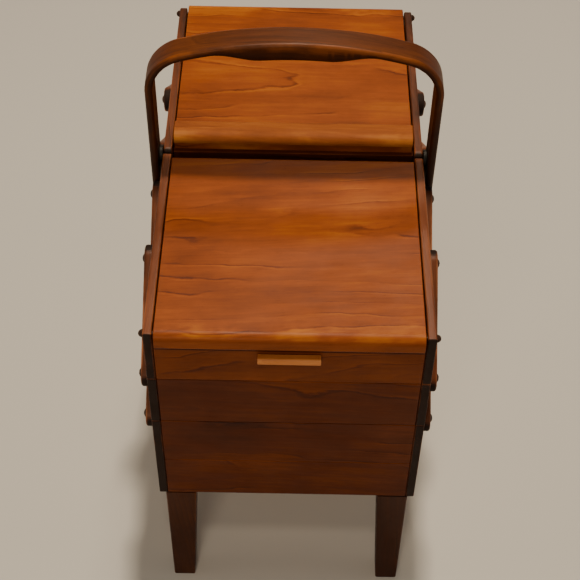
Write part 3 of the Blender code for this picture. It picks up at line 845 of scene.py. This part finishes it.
def strap_size(x, z, low, high):
    """The strap's half width, thickness and edge radii, outer and inner, at a point of its path."""
    on_crown = z > high.z - HANDLE_CORNER
    grip = ease((GRIP_END - abs(x)) / (GRIP_END - GRIP_HALF)) if on_crown else 0
    rise = min(z - low.z, FOOT_CORNER)
    half_width = high.y - FOOT_CORNER + sqrt(FOOT_CORNER**2 - (FOOT_CORNER - rise) ** 2)
    thickness = STRAP_THICKNESS + GRIP_DROP * grip
    outer = STRAP_EDGE + (GRIP_TOP_EDGE - STRAP_EDGE) * grip
    inner = STRAP_EDGE + (GRIP_LOW_EDGE - STRAP_EDGE) * grip
    return half_width, thickness, outer, inner


def strap_section(half_width, thickness, outer, inner):
    """(y, depth) points of the strap's section. The flats start where an edge's wear has died away."""
    flat_outer = half_width - outer - WEAR_FADE
    flat_inner = half_width - inner - WEAR_FADE
    return rounded(
        [
            (half_width, 0, outer),
            (half_width, thickness, inner),
            (flat_inner, thickness, 0),
            (-flat_inner, thickness, 0),
            (-half_width, thickness, inner),
            (-half_width, 0, outer),
            (-flat_outer, 0, 0),
            (flat_outer, 0, 0),
        ],
        STRAP_EDGE_STEPS,
    )


def skin(shape, rings):
    """Faces between the rings of a swept solid, and over its ends."""
    count = len(rings[0])
    for first, second in zip(rings, rings[1:]):
        for i in range(count):
            j = (i + 1) % count
            shape.faces.new([first[i], first[j], second[j], second[i]])
    shape.faces.new(rings[0])
    shape.faces.new(list(reversed(rings[-1])))
    bmesh.ops.recalc_face_normals(shape, faces=shape.faces)


def make_handle():
    """The strap's section swept along its path, with painted light and shade set for each face: a lighter
    upper face on the crown, and darker other faces and legs.
    """
    low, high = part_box("handle")
    right = strap_path()
    path = right + [(-x, z) for x, z in reversed(right[:-1])]
    shape = bmesh.new()
    layer = shape.verts.layers.float.new("edge")
    rings, places, shades, run = [], [], [], 0.0
    for i, (x, z) in enumerate(path):
        ahead = Vector(path[min(i + 1, len(path) - 1)])
        behind = Vector(path[max(i - 1, 0)])
        step = (ahead - behind).normalized()
        away = Vector((step.y, -step.x))
        if i:
            run += (Vector((x, z)) - behind).length
        half_width, thickness, outer, inner = strap_size(x, z, low, high)
        crown = ease((z - high.z + 2 * HANDLE_CORNER) / HANDLE_CORNER)
        ring = []
        for y, depth in strap_section(half_width, thickness, outer, inner):
            point = Vector((x, z)) - away * depth
            vert = shape.verts.new((point.x, y, point.y))
            near_edge = depth < outer or depth > thickness - inner
            vert[layer] = 1.0 if near_edge and abs(y) > half_width - STRAP_EDGE else 0.0
            # Painted light on the crown's upper face, and painted shade on its other faces and down the
            # legs.
            face = CROWN_TOP_LIGHT if depth < outer else CROWN_FACE_SHADE
            shades.append(STRAP_LEG_SHADE + (face - STRAP_LEG_SHADE) * crown)
            places.append((run, y, depth))
            ring.append(vert)
        rings.append(ring)
    skin(shape, rings)
    handle = piece("handle_shown", shape, "handle_wood", "handle", along=None, places=places)
    for item, shade in zip(handle.data.attributes["stain_and_shade"].data, shades):
        item.value += shade


def make_handle_screw(side, side_sign, level):
    node = f"{side}_handle_{level}_screw"
    low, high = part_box(node)
    shape = turned([*dome(HEAD_RADIUS, HEAD_HEIGHT, FIT), (HEAD_RADIUS, 0), (0, 0)])
    place = outward(side_sign, (side_sign * STRAP_X, 0, (low.z + high.z) / 2))
    piece(f"{node}_shown", shape, "pin_metal", node, along="Z", place=place)


def make_bumper(side, side_sign):
    """The black disc between the strap and the upper trays."""
    node = f"{side}_handle_bumper"
    low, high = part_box(node)
    radius, depth = (high.z - low.z) / 2, high.x - low.x
    edge = arc((radius - BUMPER_EDGE, depth - BUMPER_EDGE), BUMPER_EDGE, pi / 2, 0, 4)
    shape = turned([(0, depth), *edge, (radius, 0), (0, 0)], BUMPER_STEPS)
    inner_x = high.x if side_sign < 0 else low.x
    place = outward(side_sign, (inner_x, 0, (low.z + high.z) / 2))
    piece(f"{node}_shown", shape, "bumper_plastic", node, along="Z", place=place)


make_handle()
for side, side_sign in SIDES:
    for level in ("lower", "upper"):
        make_handle_screw(side, side_sign, level)
    make_bumper(side, side_sign)


# ---------------------------------------------------------------- legs


def make_leg(half, toward, side, side_sign):
    """A leg that tapers on its two inner faces. Its tenon is inside the base."""
    node = f"{half}_{side}_leg"
    low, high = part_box(node)
    outer_x = high.x if side_sign > 0 else low.x
    outer_y = high.y if toward > 0 else low.y
    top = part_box("base_left_side")[0].z - FIT
    shape = box_shape(Vector((-0.5, -0.5, 0)), Vector((0.5, 0.5, top)))
    for vert in shape.verts:
        width = LEG_TOP if vert.co.z > 0 else LEG_FOOT
        vert.co.x = outer_x - (side_sign * width if vert.co.x * side_sign < 0 else 0)
        vert.co.y = outer_y - (toward * width if vert.co.y * toward < 0 else 0)
    piece(f"{node}_shown", soften(shape, LEG_EDGE), "leg_wood", node, along="Z")


for half, toward in HALVES:
    for side, side_sign in SIDES:
        make_leg(half, toward, side, side_sign)


# ---------------------------------------------------------------- floor, lights, world and camera


def make_floor():
    """A pale floor that glows with distance, so that it meets the horizon without a line."""
    shape = bmesh.new()
    bmesh.ops.create_grid(shape, x_segments=2, y_segments=2, size=FLOOR_HALF)
    mesh = bpy.data.meshes.new("floor")
    shape.to_mesh(mesh)
    shape.free()
    floor = bpy.data.objects.new("floor", mesh)
    bpy.context.scene.collection.objects.link(floor)
    n = Nodes("floor")
    place = n.add("NewGeometry").outputs["Position"]
    distance = n.add("VectorMath", {"operation": "LENGTH"}, i0=place).outputs["Value"]
    n.set(
        n.shader,
        Base_Color=FLOOR_COLOUR,
        Roughness=FLOOR_ROUGHNESS,
        Specular_IOR_Level=FLOOR_SPECULAR,
        Emission_Color=HORIZON_COLOUR,
        Emission_Strength=n.steps(distance, *FLOOR_GLOW, 0.0, HORIZON_LIGHT - FLOOR_SHINE),
    )
    mesh.materials.append(n.material)


def make_light(name, place, size, power):
    """A square soft light aimed at the box's lids."""
    data = bpy.data.lights.new(name, "AREA")
    data.size, data.energy, data.color = size, power, WARM
    light = bpy.data.objects.new(name, data)
    bpy.context.scene.collection.objects.link(light)
    light.location = place
    light.rotation_mode = "QUATERNION"
    light.rotation_quaternion = (LIGHT_AIM - Vector(place)).to_track_quat("-Z", "Y")


def make_world():
    """A pale horizon under a dimmer sky."""
    world = bpy.data.worlds.new("world")
    world.use_nodes = True
    tree = world.node_tree
    place = tree.nodes.new("ShaderNodeTexCoord").outputs["Generated"]
    parts = tree.nodes.new("ShaderNodeSeparateXYZ")
    tree.links.new(place, parts.inputs[0])
    fall = tree.nodes.new("ShaderNodeMapRange")
    fall.interpolation_type = "SMOOTHSTEP"
    for socket, number in zip(fall.inputs[1:5], (HORIZON, SKY, HORIZON_LIGHT, SKY_LIGHT)):
        socket.default_value = number
    tree.links.new(parts.outputs["Z"], fall.inputs["Value"])
    shader = tree.nodes["Background"]
    shader.inputs["Color"].default_value = HORIZON_COLOUR
    tree.links.new(fall.outputs[0], shader.inputs["Strength"])
    bpy.context.scene.world = world


def make_camera():
    """The photo's camera, as solved from the box's straight edges."""
    data = bpy.data.cameras.new("camera")
    data.lens, data.sensor_width = CAMERA_LENS, CAMERA_SENSOR
    camera = bpy.data.objects.new("camera", data)
    bpy.context.scene.collection.objects.link(camera)
    pitch, yaw, roll = CAMERA_PITCH, CAMERA_YAW, CAMERA_ROLL
    ahead = Vector((sin(yaw) * cos(pitch), cos(yaw) * cos(pitch), -sin(pitch)))
    across = Vector((cos(yaw), -sin(yaw), 0))
    up = across.cross(ahead)
    right = cos(roll) * across + sin(roll) * up
    up = cos(roll) * up - sin(roll) * across
    turn = Matrix((right, up, -ahead)).transposed().to_4x4()
    camera.matrix_world = Matrix.Translation(CAMERA_PLACE) @ turn
    bpy.context.scene.camera = camera


make_floor()
for light in LIGHTS:
    make_light(*light)
make_world()
make_camera()
